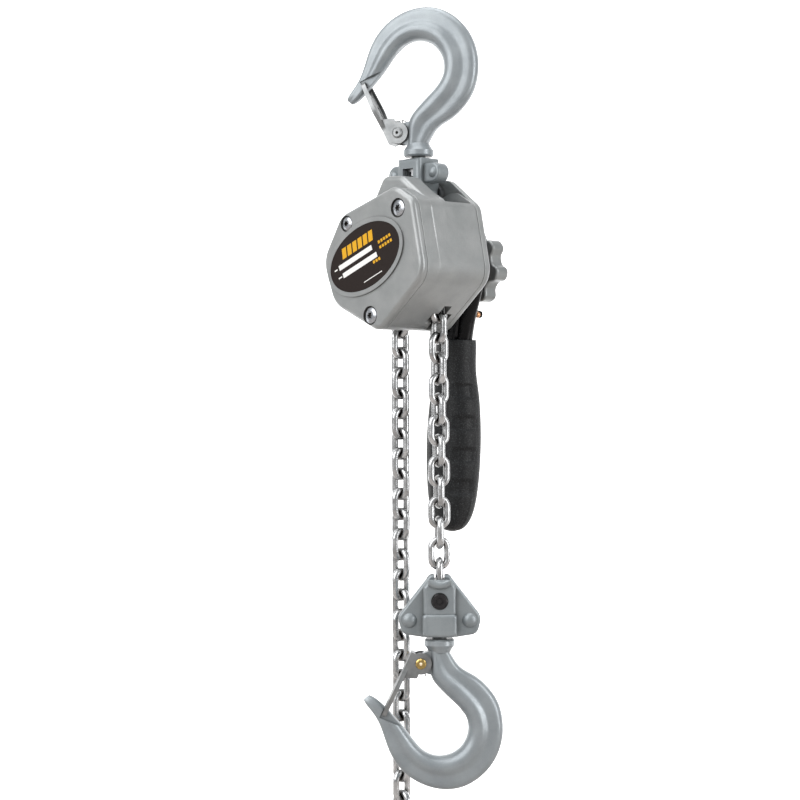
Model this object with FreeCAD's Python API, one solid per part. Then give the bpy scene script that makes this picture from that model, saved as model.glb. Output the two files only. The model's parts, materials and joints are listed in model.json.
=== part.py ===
"""Lever chain hoist, half-tonne class.  Millimetres, +Z up.

Everything is drawn about the drive shaft: the shaft lies along Y through x = 0, z = 0, the front
cover faces -Y and the knob faces +Y.  The load strand of chain hangs at +X and the slack strand
at -X.  The finished pieces are moved down so that the origin is the centre of the top hook's bowl.
"""
import FreeCAD, Part
import math
import os
from FreeCAD import Vector

# ---- driving dimensions -------------------------------------------------------------------
PITCH = 12.0              # inside length of a chain link
WIRE = 3.95               # link wire diameter
LINK_WIDTH = 13.4         # outside width of a link
STRAND_X = 15.85          # each strand hangs this far from the shaft
WRAP_R = 15.82            # the wires where two links bear on each other lie on this circle
FLAT_SPAN = PITCH + WIRE  # bearing point to bearing point of a link lying flat on the sheave
UPRIGHT_SPAN = PITCH - WIRE - 0.05
TOP_BOWL_Z = 115.4        # top hook's bowl centre above the shaft
BOTTOM_BOWL_Z = -271.5    # bottom hook's bowl centre below the shaft
TOP_HOOK_TURN = 26.0      # how far each hook is swivelled about the vertical, degrees
BOTTOM_HOOK_TURN = 45.0
BOWL_R = 16.6             # hook bowl
STEM_R = 4.2              # turned stem that passes into the yoke
STEM_END = 56.3           # where the stem's thread starts, above the bowl centre
THREAD_R = 3.5
NUT_R = 6.6
CAVITY_R = 6.9            # nut pocket in each yoke
RUN = 0.05                # radial clearance of every running fit

COVER_Y0 = -40.0          # front face of the gear cover
CASE_Y0 = -35.0           # joint between gear cover and casing
CASE_Y1 = 12.5            # joint between casing and brake cover
BRAKE_Y1 = 18.5           # rear face of the brake cover's rim
BOSS_Y1 = 20.8            # rear face of the brake cover's round boss
WALL = 3.0
SEAM = 0.55               # rounding either side of each casing joint

PLATE_T = 2.5             # frame plates
FRONT_PLATE_Y = -14.0
REAR_PLATE_Y = 10.0
PIN_Z = 41.0              # suspension pin above the shaft
PIN_R = 3.0
YOKE_TOP = 62.0
TOP_POCKET_Z = 60.15       # roof of the top yoke's nut pocket
BOTTOM_POCKET_Z = -216.25  # floor of the bottom yoke's nut pocket
TOP_WING_Y = 4.8          # half thickness of the top yoke's ears
YOKE_RIVET_Z = 53.0
YOKE_RIVET_X = 16.0

MODULE = 0.8
PINION_TEETH = 9
WHEEL_TEETH = 33
GEAR_CENTRE = MODULE * (PINION_TEETH + WHEEL_TEETH) / 2
GEAR_ANGLE = 30.0         # direction of the first intermediate gear
SHAFT_R = 3.3

KNOB_Y0 = 44.2
KNOB_Y1 = 54.6
LEVER_TILT = 2.2          # the lever hangs this far from plumb

BOTTOM_YOKE_TOP = -182.0
BOTTOM_WING_Y = 5.0       # half thickness of the bottom yoke's wings
BOTTOM_RIVET_X = 17.6
BOTTOM_RIVET_Z = -208.5
CHAIN_PIN_Z = -197.0
CHAIN_PIN_R = 2.6
CHAIN_TWIST = 45.0        # the loaded strand turns this far between casing and hook
SLACK_LINKS = 27

# cover outline: corner x, corner z, corner radius
COVER_CORNERS = [(19.5, 42.5, 10), (34, 34, 9), (43, -9, 15), (6.1, -41, 9),
                 (-31.5, -23.5, 16), (-41, 2.5, 16), (-25.5, 28, 13)]
HUMP_CORNERS = [(13, 49.5, 8), (34.5, 33, 9), (43, -9, 15), (6.1, -41, 9), (-31.5, -23.5, 16),
                (-41, 2.5, 16), (-25.5, 28, 13), (-13.5, 32.2, 5), (-2.5, 50.5, 6)]
COVER_SCREWS = [(22.5, 29.4, 5.6), (-20.0, 23.0, 4.8), (-0.4, -31.2, 5.6)]

# hooks and latches; hook stations from shank to point, about the bowl centre:
# inner x z, outer x z, half thickness of the inner bead, half thickness of the outer edge
HOOK_STATIONS = [
    ((-6.0, 49.0), (6.0, 49.0), 6.0, 5.2),
    ((-6.0, 43.5), (6.2, 43.6), 6.0, 5.2),
    ((-6.0, 36.6), (8.4, 40.0), 6.4, 5.2),
    ((-4.9, 29.6), (12.4, 35.0), 7.0, 5.1),
    ((-0.6, 23.4), (20.0, 30.4), 7.4, 5.0),
    ((5.8, 17.0), (28.2, 23.4), 7.5, 5.0),
    ((12.3, 10.4), (34.2, 14.2), 7.5, 5.0),
    ((15.9, 3.6), (36.8, 3.6), 7.5, 5.0),
    ((15.9, -3.9), (36.3, -7.8), 7.5, 5.0),
    ((12.9, -10.0), (31.4, -20.2), 7.5, 5.0),
    ((8.2, -14.2), (21.6, -30.6), 7.5, 5.0),
    ((1.6, -16.3), (8.8, -36.0), 7.5, 5.0),
    ((-5.4, -15.5), (-7.4, -34.4), 7.3, 4.9),
    ((-11.4, -11.6), (-20.6, -26.6), 7.0, 4.8),
    ((-16.4, -6.0), (-28.2, -16.8), 6.6, 4.6),
    ((-21.6, 0.9), (-32.4, -6.4), 6.0, 4.3),
    ((-27.4, 7.4), (-35.6, 2.4), 5.2, 4.0),
    ((-33.4, 13.6), (-39.6, 9.0), 4.2, 3.6),
    ((-38.6, 17.8), (-43.2, 13.6), 3.2, 3.0),
    ((-41.4, 19.0), (-44.6, 16.2), 1.7, 1.7),
]
TONGUE_HALF = 3.0         # half thickness of the tongue that the latch closes over
LATCH_X = -11.0
LATCH_Z = 37.8
LATCH_PIN_R = 1.9
LATCH_HEAD = (-16.4, 44.6)
LATCH_FOOT = (-34.2, 7.6)
SHEET = 1.3               # latch sheet thickness
LATCH_HALF = 6.2          # half the latch's width over the ears
LATCH_BELLY = 9.6         # and where its outline would be widest
LATCH_RIM = 2.5

# casing
LABEL_X = -4.0
LABEL_Z = 2.8
LABEL_A = 30.0            # half axes of the oval rating plate
LABEL_B = 18.0
LABEL_TILT = -22.0        # it rises towards +X
SPACERS = [(-27.0, 12.0), (28.5, 13.0), (-26.0, -17.0), (-3.0, -29.0)]

# sheave and brake
SHEAVE_R = 18.6
BEARING_R = 9.0
SHEAVE_HUB_R = 6.4
NUT_FLANGE_R = 14.0
POCKET_ANGLE = 7.15
HUB_Y = (12.85, 14.4)
DISC_A_Y = (14.4, 15.4)
RATCHET_Y = (15.4, 17.2)
DISC_B_Y = (17.2, 18.2)
RATCHET_TEETH = 12
PAWL_POSTS = [(12.0, 20.8), (-12.0, -20.8)]
CHANGE_TEETH = 12

# lever and knob; grip stations: height, half width, half depth
LEVER_SCREWS = [(-15.6, 8.5), (15.6, 8.5), (0.0, -38.0)]
LEVER_SCREW_HEAD_R = 2.6
SELECTOR_X = 0.0
SELECTOR_Z = -26.5
GRIP_STATIONS = [(-43.7, 12.4, 10.2), (-46.5, 12.6, 10.5), (-62, 13.0, 10.7), (-80, 16.2, 12.0),
                 (-98, 17.6, 12.9), (-114, 17.7, 13.0), (-130, 16.8, 12.5), (-144, 14.6, 11.3),
                 (-153, 11.0, 9.2), (-158.2, 6.0, 5.4)]
GRIP_Y = 33.6
GRIP_FIRST_HOLLOW = -74.6
GRIP_HOLLOW_STEP = 19.1
GRIP_HOLLOW_X = [15.4, 17.2, 17.4, 16.2]   # the grip's half width at each hollow
KNOB_LOBES = 7
KNOB_MEAN_R = 20.0
KNOB_LOBE = 2.5
KNOB_TRAVEL = 3.0


# ---- small tools --------------------------------------------------------------------------
def along_y(x, z, radius, y0, y1):
    return Part.makeCylinder(radius, y1 - y0, Vector(x, y0, z), Vector(0, 1, 0))


def along_z(x, y, radius, z0, z1):
    return Part.makeCylinder(radius, z1 - z0, Vector(x, y, z0), Vector(0, 0, 1))


def block(x0, x1, y0, y1, z0, z1):
    return Part.makeBox(x1 - x0, y1 - y0, z1 - z0, Vector(x0, y0, z0))


def ring(x, z, outer, inner, y0, y1):
    return along_y(x, z, outer, y0, y1).cut(along_y(x, z, inner, y0 - 1, y1 + 1))


def fuse(shapes):
    whole = shapes[0].multiFuse(shapes[1:]) if len(shapes) > 1 else shapes[0]
    return whole.removeSplitter()


def turned(shape, degrees, x=0.0, y=0.0):
    """The shape turned about the vertical through x, y."""
    copy = shape.copy()
    copy.rotate(Vector(x, y, 0), Vector(0, 0, 1), degrees)
    return copy


def tilted(shape, degrees, x=0.0, z=0.0):
    """The shape turned about an axis parallel to Y through x, z."""
    copy = shape.copy()
    copy.rotate(Vector(x, 0, z), Vector(0, 1, 0), degrees)
    return copy


def moved(shape, x=0.0, y=0.0, z=0.0):
    copy = shape.copy()
    copy.translate(Vector(x, y, z))
    return copy


def rounded_wire(corners, y):
    """A closed wire in the plane y through corners (x, z, radius), with tangent arcs."""
    count = len(corners)
    ends = []
    for i, (x, z, radius) in enumerate(corners):
        here = Vector(x, y, z)
        before = Vector(corners[i - 1][0], y, corners[i - 1][1])
        after = Vector(corners[(i + 1) % count][0], y, corners[(i + 1) % count][1])
        to_before = (before - here).normalize()
        to_after = (after - here).normalize()
        half = to_before.getAngle(to_after) / 2
        reach = radius / math.tan(half)
        middle = (to_before + to_after).normalize()
        start = here + to_before * reach
        stop = here + to_after * reach
        crown = here + middle * (radius / math.sin(half) - radius)
        ends.append((start, crown, stop))
    edges = []
    for i, (start, crown, stop) in enumerate(ends):
        edges.append(Part.Arc(start, crown, stop).toShape())
        following = ends[(i + 1) % count][0]
        if (following - stop).Length > 1e-6:
            edges.append(Part.LineSegment(stop, following).toShape())
    return Part.Wire(edges)


def slab(corners, y0, y1, inset=0.0):
    """The rounded outline, drawn in by inset, extruded from y0 to y1."""
    face = Part.Face(rounded_wire(corners, y0))
    if inset:
        face = face.makeOffset2D(-inset)
    return face.extrude(Vector(0, y1 - y0, 0))


def polygon_slab(points, y0, y1):
    wire = Part.makePolygon([Vector(x, y0, z) for x, z in points + points[:1]])
    return Part.Face(wire).extrude(Vector(0, y1 - y0, 0))


def rounded_edges(solid, radius, wanted):
    """Fillet the edges for which wanted(edge) is true."""
    edges = [edge for edge in solid.Edges if wanted(edge)]
    return solid.makeFillet(radius, edges)


def at_y(y, tolerance=1e-3):
    def test(edge):
        box = edge.BoundBox
        return abs(box.YMin - y) < tolerance and abs(box.YMax - y) < tolerance
    return test


def outer_at_y(y, limit):
    """Edges in the plane y that reach further than limit from the shaft."""
    flat = at_y(y)

    def test(edge):
        if not flat(edge):
            return False
        middle = edge.valueAt((edge.FirstParameter + edge.LastParameter) / 2)
        return math.hypot(middle.x, middle.z) > limit
    return test


def revolve_y(profile, x=0.0, z=0.0):
    """Revolve a (radius, y) outline about an axis parallel to Y."""
    wire = Part.makePolygon([Vector(x + r, y, z) for r, y in profile + profile[:1]])
    return Part.Face(wire).revolve(Vector(x, 0, z), Vector(0, 1, 0), 360)


def revolve_z(profile, x=0.0, y=0.0):
    """Revolve a (radius, z) outline about a vertical axis."""
    wire = Part.makePolygon([Vector(x + r, y, z) for r, z in profile + profile[:1]])
    return Part.Face(wire).revolve(Vector(x, y, 0), Vector(0, 0, 1), 360)


def dome_rivet(x, z, radius, y0, y1, crown):
    """A rivet along Y with a domed head at each end."""
    shank = along_y(x, z, radius * 0.62, y0, y1)
    heads = []
    ball_r = (radius ** 2 + crown ** 2) / (2 * crown)
    for face, side in ((y0, -1), (y1, 1)):
        ball = Part.makeSphere(ball_r, Vector(x, face - side * (ball_r - crown), z))
        low, high = sorted((face, face + side * crown))
        heads.append(ball.common(along_y(x, z, radius, low, high)))
    return fuse([shank] + heads)


# ---- chain --------------------------------------------------------------------------------
def link(turn, x, y, z, tilt=0.0):
    """One upright link centred at x, y, z; its flat side faces Y before the turn about Z."""
    bend = (LINK_WIDTH - WIRE) / 2
    half = (PITCH + WIRE) / 2 - bend
    pieces = []
    for side in (-1, 1):
        arc = Part.makeTorus(bend, WIRE / 2, Vector(0, 0, side * half), Vector(0, 1, 0))
        low, high = sorted((side * half, side * 40))
        pieces.append(arc.common(block(-20, 20, -20, 20, low, high)))
        pieces.append(along_z(side * bend, 0, WIRE / 2, -half, half))
    shape = fuse(pieces)
    shape.rotate(Vector(0, 0, 0), Vector(0, 0, 1), turn)
    shape.rotate(Vector(0, 0, 0), Vector(0, 1, 0), tilt)
    shape.translate(Vector(x, y, z))
    return shape


def load_strand():
    """Links from the chain pin up to the sheave; each turns a little more than the last."""
    first = CHAIN_PIN_Z - CHAIN_PIN_R - 0.05 + PITCH / 2
    count = 16
    twist = CHAIN_TWIST / (count - 1)
    return [link(45 + k * (90 + twist), STRAND_X, 0, first + k * PITCH) for k in range(count)]


def sheave_joints():
    """Bearing points round the sheave, from the load strand to the slack strand."""
    top = CHAIN_PIN_Z - CHAIN_PIN_R - 0.05 + PITCH * 15.5 + UPRIGHT_SPAN / 2
    reach = math.hypot(STRAND_X, top)
    swing = math.acos((WRAP_R ** 2 + reach ** 2 - FLAT_SPAN ** 2) / (2 * WRAP_R * reach))
    angle = math.atan2(top, STRAND_X) + swing
    joints = [(STRAND_X, top)]
    for span in (UPRIGHT_SPAN, FLAT_SPAN, UPRIGHT_SPAN, 0):
        joints.append((WRAP_R * math.cos(angle), WRAP_R * math.sin(angle)))
        angle += 2 * math.asin(span / 2 / WRAP_R)
    drop = math.sqrt(FLAT_SPAN ** 2 - (STRAND_X + joints[-1][0]) ** 2)
    joints.append((-STRAND_X, joints[-1][1] - drop))
    return joints


def sheave_links():
    """The five links lying on the sheave, flat and upright in turn."""
    joints = sheave_joints()
    links = []
    for k in range(5):
        (x0, z0), (x1, z1) = joints[k], joints[k + 1]
        tilt = math.degrees(math.atan2(x1 - x0, z1 - z0))
        turn = 90 if k % 2 == 0 else 0
        links.append(link(turn, (x0 + x1) / 2, 0, (z0 + z1) / 2, tilt))
    return links


def first_slack_link():
    return sheave_joints()[-1][1] - UPRIGHT_SPAN / 2


def slack_strand():
    top = first_slack_link()
    return [link(90 * (k % 2), -STRAND_X, 0, top - k * PITCH) for k in range(SLACK_LINKS)]


def slack_end():
    """The stop ring that keeps the slack end from running through the casing."""
    last = first_slack_link() - (SLACK_LINKS - 1) * PITCH
    radius, wire = 10.0, 2.4
    turn = 90 * (SLACK_LINKS % 2)
    centre = last - PITCH / 2 + wire + 0.1 - radius
    torus = Part.makeTorus(radius, wire, Vector(0, 0, 0), Vector(0, 1, 0))
    torus.rotate(Vector(0, 0, 0), Vector(0, 0, 1), turn)
    torus.translate(Vector(-STRAND_X, 0, centre))
    return torus


# ---- hooks --------------------------------------------------------------------------------
# stations along the hook: inner point, outer point, half width of the bead, half width of the back


def hook_section(inner, outer, bead, back):
    """Closed smooth section: a fat rounded bead inside, a flatter back outside."""
    start = Vector(inner[0], 0, inner[1])
    across = Vector(outer[0] - inner[0], 0, outer[1] - inner[1])
    side = [(0.03, 0.42), (0.14, 0.84), (0.28, 1.0), (0.43, 0.93), (0.56, None), (0.74, None),
            (0.9, None), (0.975, None)]
    back_share = [0.86 * back + 0.14 * bead, back, 0.84 * back, 0.48 * back]
    half = []
    for k, (along, share) in enumerate(side):
        width = bead * share if share is not None else back_share[k - 4]
        half.append((along, width))
    points = [start]
    points += [start + across * along + Vector(0, width, 0) for along, width in half]
    points.append(start + across)
    points += [start + across * along - Vector(0, width, 0) for along, width in reversed(half)]
    curve = Part.BSplineCurve()
    curve.interpolate(Points=points, PeriodicFlag=True)
    return Part.Wire(curve.toShape())


def forged_hook():
    """The hook about its bowl centre: shank up, point at -X, swivel stem on top."""
    body = Part.makeLoft([hook_section(*station) for station in HOOK_STATIONS], True, False)
    body = body.cut(along_y(0, 0, BOWL_R, -20, 20).cut(block(-30, 30, -30, 30, 8, 30)))
    lug = polygon_slab([(-2, 46.5), (-8.5, 44.2), (-15.2, 40.6), (-15.8, 37.6), (-14.6, 34.6),
                        (-10.0, 32.4), (-4, 31.0)], -4.2, 4.2)
    lug = rounded_edges(lug, 1.4, lambda edge: abs(edge.BoundBox.YLength - 8.4) < 0.01
                        and edge.BoundBox.XMin < -7)
    collar = revolve_z([(0, 44.0), (6.2, 44.0), (7.4, 46.2), (8.9, 48.2), (8.9, 50.9), (8.1, 52.0),
                        (0, 52.0)])
    stem = along_z(0, 0, STEM_R, 52.0, STEM_END)
    thread = along_z(0, 0, THREAD_R, STEM_END, 65.5)
    hook = fuse([body, lug, collar, stem, thread])
    latch_path = [(-35.4, 6.2), (-20.6, 0.2), (-16, 20), (-28.0, 21.4)]
    for side in (-1, 1):
        low, high = sorted((side * TONGUE_HALF, side * 12))
        hook = hook.cut(polygon_slab(latch_path, low, high))
    return hook.cut(along_y(LATCH_X, LATCH_Z, LATCH_PIN_R + 0.02, -10, 10))


def latch_plate():
    """Pressed latch: a leaf-shaped slotted tray with a low rim, and an ear each side of the lug."""
    head = Vector(LATCH_HEAD[0], 0, LATCH_HEAD[1])
    down = Vector(LATCH_FOOT[0], 0, LATCH_FOOT[1]) - head
    length = down.Length
    down.normalize()
    inward = Vector(-down.z, 0, down.x)

    def at(along, out):
        p = head + down * along + inward * out
        return (p.x, p.z)

    # drawn flat first: X across the latch, Y inwards, Z from head to foot
    side = [(LATCH_HALF, 0.0, 0.8), (LATCH_HALF, 10.0, 7.0), (LATCH_BELLY, 23.0, 14.0),
            (LATCH_HALF, length - 0.2, 2.5)]
    outline = [(-x, z, radius) for x, z, radius in side] + list(reversed(side))
    tray = slab(outline, 0, SHEET)
    rim = slab(outline, 0, LATCH_RIM).cut(slab(outline, -1, LATCH_RIM + 1, SHEET))
    tray = tray.fuse(rim)
    for x in (-3.1, 3.1):
        slot = block(x - 0.8, x + 0.8, -1, LATCH_RIM + 1, 12.8, 25.2)
        for z in (12.8, 25.2):
            slot = slot.fuse(along_y(x, z, 0.8, -1, LATCH_RIM + 1))
        tray = tray.cut(slot)
    fork = TONGUE_HALF + 0.3
    tray = tray.cut(block(-fork, fork, -1, LATCH_RIM + 1, length - 9.6, length + 2))
    place = FreeCAD.Matrix(0, inward.x, down.x, head.x, 1, 0, 0, 0, 0, inward.z, down.z, head.z, 0, 0, 0, 1)
    parts = [tray.transformed(place)]
    ear_outline = [at(0, 0), at(15.5, 0), at(15.5, LATCH_RIM), at(12.5, 9.5), at(2, 8.5), at(0, 3)]
    for low in (-LATCH_HALF, LATCH_HALF - SHEET):
        parts.append(polygon_slab(ear_outline, low, low + SHEET))
        parts.append(along_y(LATCH_X, LATCH_Z, 6.3, low, low + SHEET))
    return fuse(parts).cut(along_y(LATCH_X, LATCH_Z, LATCH_PIN_R + RUN, -10, 10))


def latch_rivet():
    tube = along_y(LATCH_X, LATCH_Z, LATCH_PIN_R, -6.3, 6.3)
    heads = [revolve_y([(0, 6.25), (3.1, 6.25), (3.1, 6.7), (2.3, 7.4), (0, 7.4)], LATCH_X, LATCH_Z),
             revolve_y([(0, -6.25), (3.1, -6.25), (3.1, -6.7), (2.3, -7.4), (0, -7.4)],
                       LATCH_X, LATCH_Z)]
    return fuse([tube] + heads).cut(along_y(LATCH_X, LATCH_Z, 0.9, -9, 9))


def latch_spring():
    """Torsion spring: a coil each side of the lug, joined by a bow that bears on the shank."""
    wire = 0.27
    coil_y = 4.56
    bow_z = 30.4
    parts = [Part.makeCylinder(wire, 2 * coil_y, Vector(LATCH_X + 2.6, -coil_y, bow_z), Vector(0, 1, 0))]
    for y in (-coil_y, coil_y):
        parts.append(Part.makeTorus(2.6, 0.3, Vector(LATCH_X, y, LATCH_Z), Vector(0, 1, 0)))
        parts.append(along_z(LATCH_X + 2.6, y, wire, bow_z, LATCH_Z))
        parts.append(Part.makeSphere(wire, Vector(LATCH_X + 2.6, y, bow_z)))
    return fuse(parts)


def as_top(shape):
    """Hook pieces as used above the hoist: shank down, swivelled."""
    copy = shape.copy()
    copy.rotate(Vector(0, 0, 0), Vector(1, 0, 0), 180)
    copy.translate(Vector(0, 0, TOP_BOWL_Z))
    return turned(copy, TOP_HOOK_TURN)


def as_bottom(shape):
    """Hook pieces as used below the hoist, on the load strand."""
    copy = shape.copy()
    copy.translate(Vector(STRAND_X, 0, BOTTOM_BOWL_Z))
    return turned(copy, BOTTOM_HOOK_TURN, STRAND_X, 0)


# ---- yokes --------------------------------------------------------------------------------
def top_yoke_half(side):
    """One half of the top yoke; side -1 is the front half."""
    low, high = sorted((side * 0.02, side * 9.0))
    body = polygon_slab([(-9, YOKE_TOP), (9, YOKE_TOP), (9, 47.5), (6.6, 43.6), (6.6, PIN_Z),
                         (-6.6, PIN_Z), (-6.6, 43.6), (-9, 47.5)], low, high)
    body = rounded_edges(body, 2.4, lambda edge: at_y(side * 9.0)(edge) and edge.BoundBox.ZMin > 44)
    eye = along_y(0, PIN_Z, 6.6, low, high)
    wing_low, wing_high = sorted((side * 0.02, side * TOP_WING_Y))
    wings = []
    for x in (-1, 1):
        reach = x * (YOKE_RIVET_X + 4.8)
        wing = slab([(x * 6, YOKE_RIVET_Z - 5.8, 0.5), (reach, YOKE_RIVET_Z - 5.8, 5.7),
                     (reach, YOKE_RIVET_Z + 5.8, 5.7), (x * 6, YOKE_RIVET_Z + 5.8, 0.5)],
                    wing_low, wing_high)
        wings.append(rounded_edges(wing, 1.3, at_y(side * TOP_WING_Y)))
    half = fuse([body, eye] + wings)
    half = half.cut(along_y(0, PIN_Z, PIN_R + RUN, -12, 12))
    half = half.cut(along_z(0, 0, STEM_R + RUN, 58, 70))
    half = half.cut(along_z(0, 0, CAVITY_R, 47.4, TOP_POCKET_Z))
    window_low, window_high = sorted((side * 6, side * 12))
    half = half.cut(block(-4.3, 4.3, window_low, window_high, 50, 56))
    for x in (-YOKE_RIVET_X, YOKE_RIVET_X):
        half = half.cut(along_y(x, YOKE_RIVET_Z, 2.05, -12, 12))
    return half


def bottom_yoke_half(side):
    """One half of the bottom yoke about the load strand; side -1 faces the chain pin's head."""
    top = BOTTOM_YOKE_TOP
    low, high = sorted((side * 0.02, side * BOTTOM_WING_Y))
    plate = slab([(-5.6, top, 3), (5.6, top, 3), (24.5, top - 24.5, 6.5), (22.0, top - 34.5, 5),
                  (9.6, top - 36.4, 1.5), (-9.6, top - 36.4, 1.5), (-22.0, top - 34.5, 5),
                  (-24.5, top - 24.5, 6.5)], low, high)
    plate = rounded_edges(plate, 1.6, at_y(side * BOTTOM_WING_Y))
    b_low, b_high = sorted((side * 0.02, side * 9.4))
    upper = slab([(-9.4, top - 7, 2.5), (-6, top - 2.6, 2), (6, top - 2.6, 2), (9.4, top - 7, 2.5),
                  (9.4, top - 24, 2.5), (-9.4, top - 24, 2.5)], b_low, b_high)
    l_low, l_high = sorted((side * 0.02, side * 10.6))
    lower = slab([(-10, top - 22.5, 2.4), (10, top - 22.5, 2.4), (10, top - 36.0, 2.4),
                  (-10, top - 36.0, 2.4)], l_low, l_high)
    upper = rounded_edges(upper, 1.9, at_y(side * 9.4))
    lower = rounded_edges(lower, 1.9, at_y(side * 10.6))
    pieces = [plate, upper, lower]
    if side < 0:
        rib = Part.makeTorus(9.0, 2.5, Vector(0, -9.2, top + 3.4), Vector(0, 1, 0))
        pieces.append(rib.common(block(-6.6, 6.6, -12, -6, top - 8.4, top - 2.6)))
    half = fuse(pieces)
    half = half.cut(block(-7.3, 7.3, -3.0, 3.0, top - 23.5, top + 5))
    half = half.cut(block(-3.0, 3.0, -7.3, 7.3, top - 13.0, top + 5))
    half = half.cut(along_z(0, 0, CAVITY_R, BOTTOM_POCKET_Z, top - 23.0))
    half = half.cut(along_z(0, 0, STEM_R + RUN, top - 40, top - 30))
    half = half.cut(along_y(0, CHAIN_PIN_Z, CHAIN_PIN_R + 0.02, -20, 20))
    if side < 0:
        half = half.cut(along_y(0, CHAIN_PIN_Z, 5.0, -20, -7.6))
    else:
        half = half.cut(along_y(0, CHAIN_PIN_Z, 4.4, 7.6, 20))
    for x in (-BOTTOM_RIVET_X, BOTTOM_RIVET_X):
        half = half.cut(along_y(x, BOTTOM_RIVET_Z, 2.75, -20, 20))
    return half


def on_load_strand(shape):
    return turned(moved(shape, STRAND_X), BOTTOM_HOOK_TURN, STRAND_X, 0)


def hexagon(x, z, across_flats, y0, y1):
    corner = across_flats / math.sqrt(3)
    points = [(x + corner * math.cos(math.radians(60 * k)), z + corner * math.sin(math.radians(60 * k)))
              for k in range(6)]
    return polygon_slab(points, y0, y1)


def chain_pin():
    """Hexagon bolt with a dished head, through the bottom yoke and the last link."""
    head = hexagon(0, CHAIN_PIN_Z, 8.2, -10.6, -7.6)
    crown = revolve_y([(0, -10.9), (3.5, -10.9), (4.9, -10.1), (4.9, -7.6), (0, -7.6)], 0, CHAIN_PIN_Z)
    head = head.common(crown).cut(along_y(0, CHAIN_PIN_Z, 2.3, -12, -9.9))
    head = head.fuse(along_y(0, CHAIN_PIN_Z, 1.3, -10.4, -9.8))
    shank = along_y(0, CHAIN_PIN_Z, CHAIN_PIN_R, -7.6, 10.0)
    return fuse([head, shank])


def chain_pin_nut():
    nut = hexagon(0, CHAIN_PIN_Z, 7.0, 7.6, 9.9)
    return nut.cut(along_y(0, CHAIN_PIN_Z, CHAIN_PIN_R, 7, 11))


def hook_nut():
    """Round castle nut on the hook's thread, about the hook's bowl centre."""
    low, high = 56.4, 63.8
    nut = along_z(0, 0, NUT_R, low, high).cut(along_z(0, 0, THREAD_R, low - 1, high + 1))
    for k in range(3):
        slot = block(-NUT_R - 1, NUT_R + 1, -0.8, 0.8, high - 2.6, high + 1)
        slot.rotate(Vector(0, 0, 0), Vector(0, 0, 1), 60 * k)
        nut = nut.cut(slot)
    return nut


def hook_washer():
    """Thrust washer between the nut and the yoke."""
    disc = along_z(0, 0, NUT_R, 55.35, 56.35)
    return disc.cut(along_z(0, 0, STEM_R + 0.1, 55, 57))


# ---- casing -------------------------------------------------------------------------------
def gear_cover():
    """Dished front cover with screw recesses and a raised oval rim for the rating plate."""
    body = slab(COVER_CORNERS, COVER_Y0, CASE_Y0)
    body = rounded_edges(body, 2.6, at_y(COVER_Y0))
    body = rounded_edges(body, SEAM, at_y(CASE_Y0))
    body = body.cut(slab(COVER_CORNERS, COVER_Y0 + 2.6, CASE_Y0 + 1, WALL + 1.0))
    for x, z, radius in COVER_SCREWS:
        boss = along_y(x, z, radius + 1.6, COVER_Y0 + 1, CASE_Y0)
        body = body.fuse(boss.common(slab(COVER_CORNERS, COVER_Y0, CASE_Y0, 0.6)))
    body = body.fuse(label_boss(LABEL_A + 2.6, LABEL_B + 2.6, COVER_Y0 - 0.9, COVER_Y0 + 1))
    body = body.cut(label_boss(LABEL_A, LABEL_B, COVER_Y0 - 2, COVER_Y0 - 0.3))
    body = body.cut(along_y(0, 0, SHAFT_R + RUN, COVER_Y0 + 1.5, CASE_Y0))
    for x, z, radius in COVER_SCREWS:
        body = body.cut(along_y(x, z, radius, COVER_Y0 - 1, COVER_Y0 + 2.2))
        body = body.cut(along_y(x, z, 2.1, COVER_Y0, CASE_Y0 + 1))
    return body.removeSplitter()


def label_boss(a, b, y0, y1):
    ellipse = Part.Ellipse(Vector(0, 0, 0), a, b)
    wire = Part.Wire(ellipse.toShape())
    shape = Part.Face(wire).extrude(Vector(0, 0, y0 - y1))
    shape.rotate(Vector(0, 0, 0), Vector(1, 0, 0), 90)
    shape.translate(Vector(0, y0, 0))
    shape.rotate(Vector(0, 0, 0), Vector(0, 1, 0), LABEL_TILT)
    shape.translate(Vector(LABEL_X, 0, LABEL_Z))
    return shape


def label_plate():
    return label_boss(LABEL_A - 0.1, LABEL_B - 0.1, COVER_Y0 - 0.75, COVER_Y0 - 0.3)


def cover_screw(x, z, radius):
    """Flanged screw with a six-lobe drive, sunk in its recess."""
    head = revolve_y([(0, COVER_Y0 - 0.2), (radius * 0.5, COVER_Y0 - 0.1), (radius * 0.82, COVER_Y0 + 0.6),
                      (radius * 0.82, COVER_Y0 + 2.2), (0, COVER_Y0 + 2.2)], x, z)
    shank = along_y(x, z, 2.0, COVER_Y0 + 2.1, COVER_Y0 + 14)
    drive = along_y(x, z, radius * 0.26, COVER_Y0 - 1, COVER_Y0 + 1.4)
    for k in range(6):
        angle = math.radians(60 * k)
        drive = drive.fuse(along_y(x + radius * 0.27 * math.cos(angle), z + radius * 0.27 * math.sin(angle),
                                   radius * 0.09, COVER_Y0 - 1, COVER_Y0 + 1.4))
    return head.fuse(shank).cut(drive).removeSplitter()


def chain_exit(x):
    """Cross-shaped passage for links that stand both ways."""
    return block(x - 8.0, x + 8.0, -3.1, 3.1, -60, 0).fuse(block(x - 3.1, x + 3.1, -8.0, 8.0, -60, 0))


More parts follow.
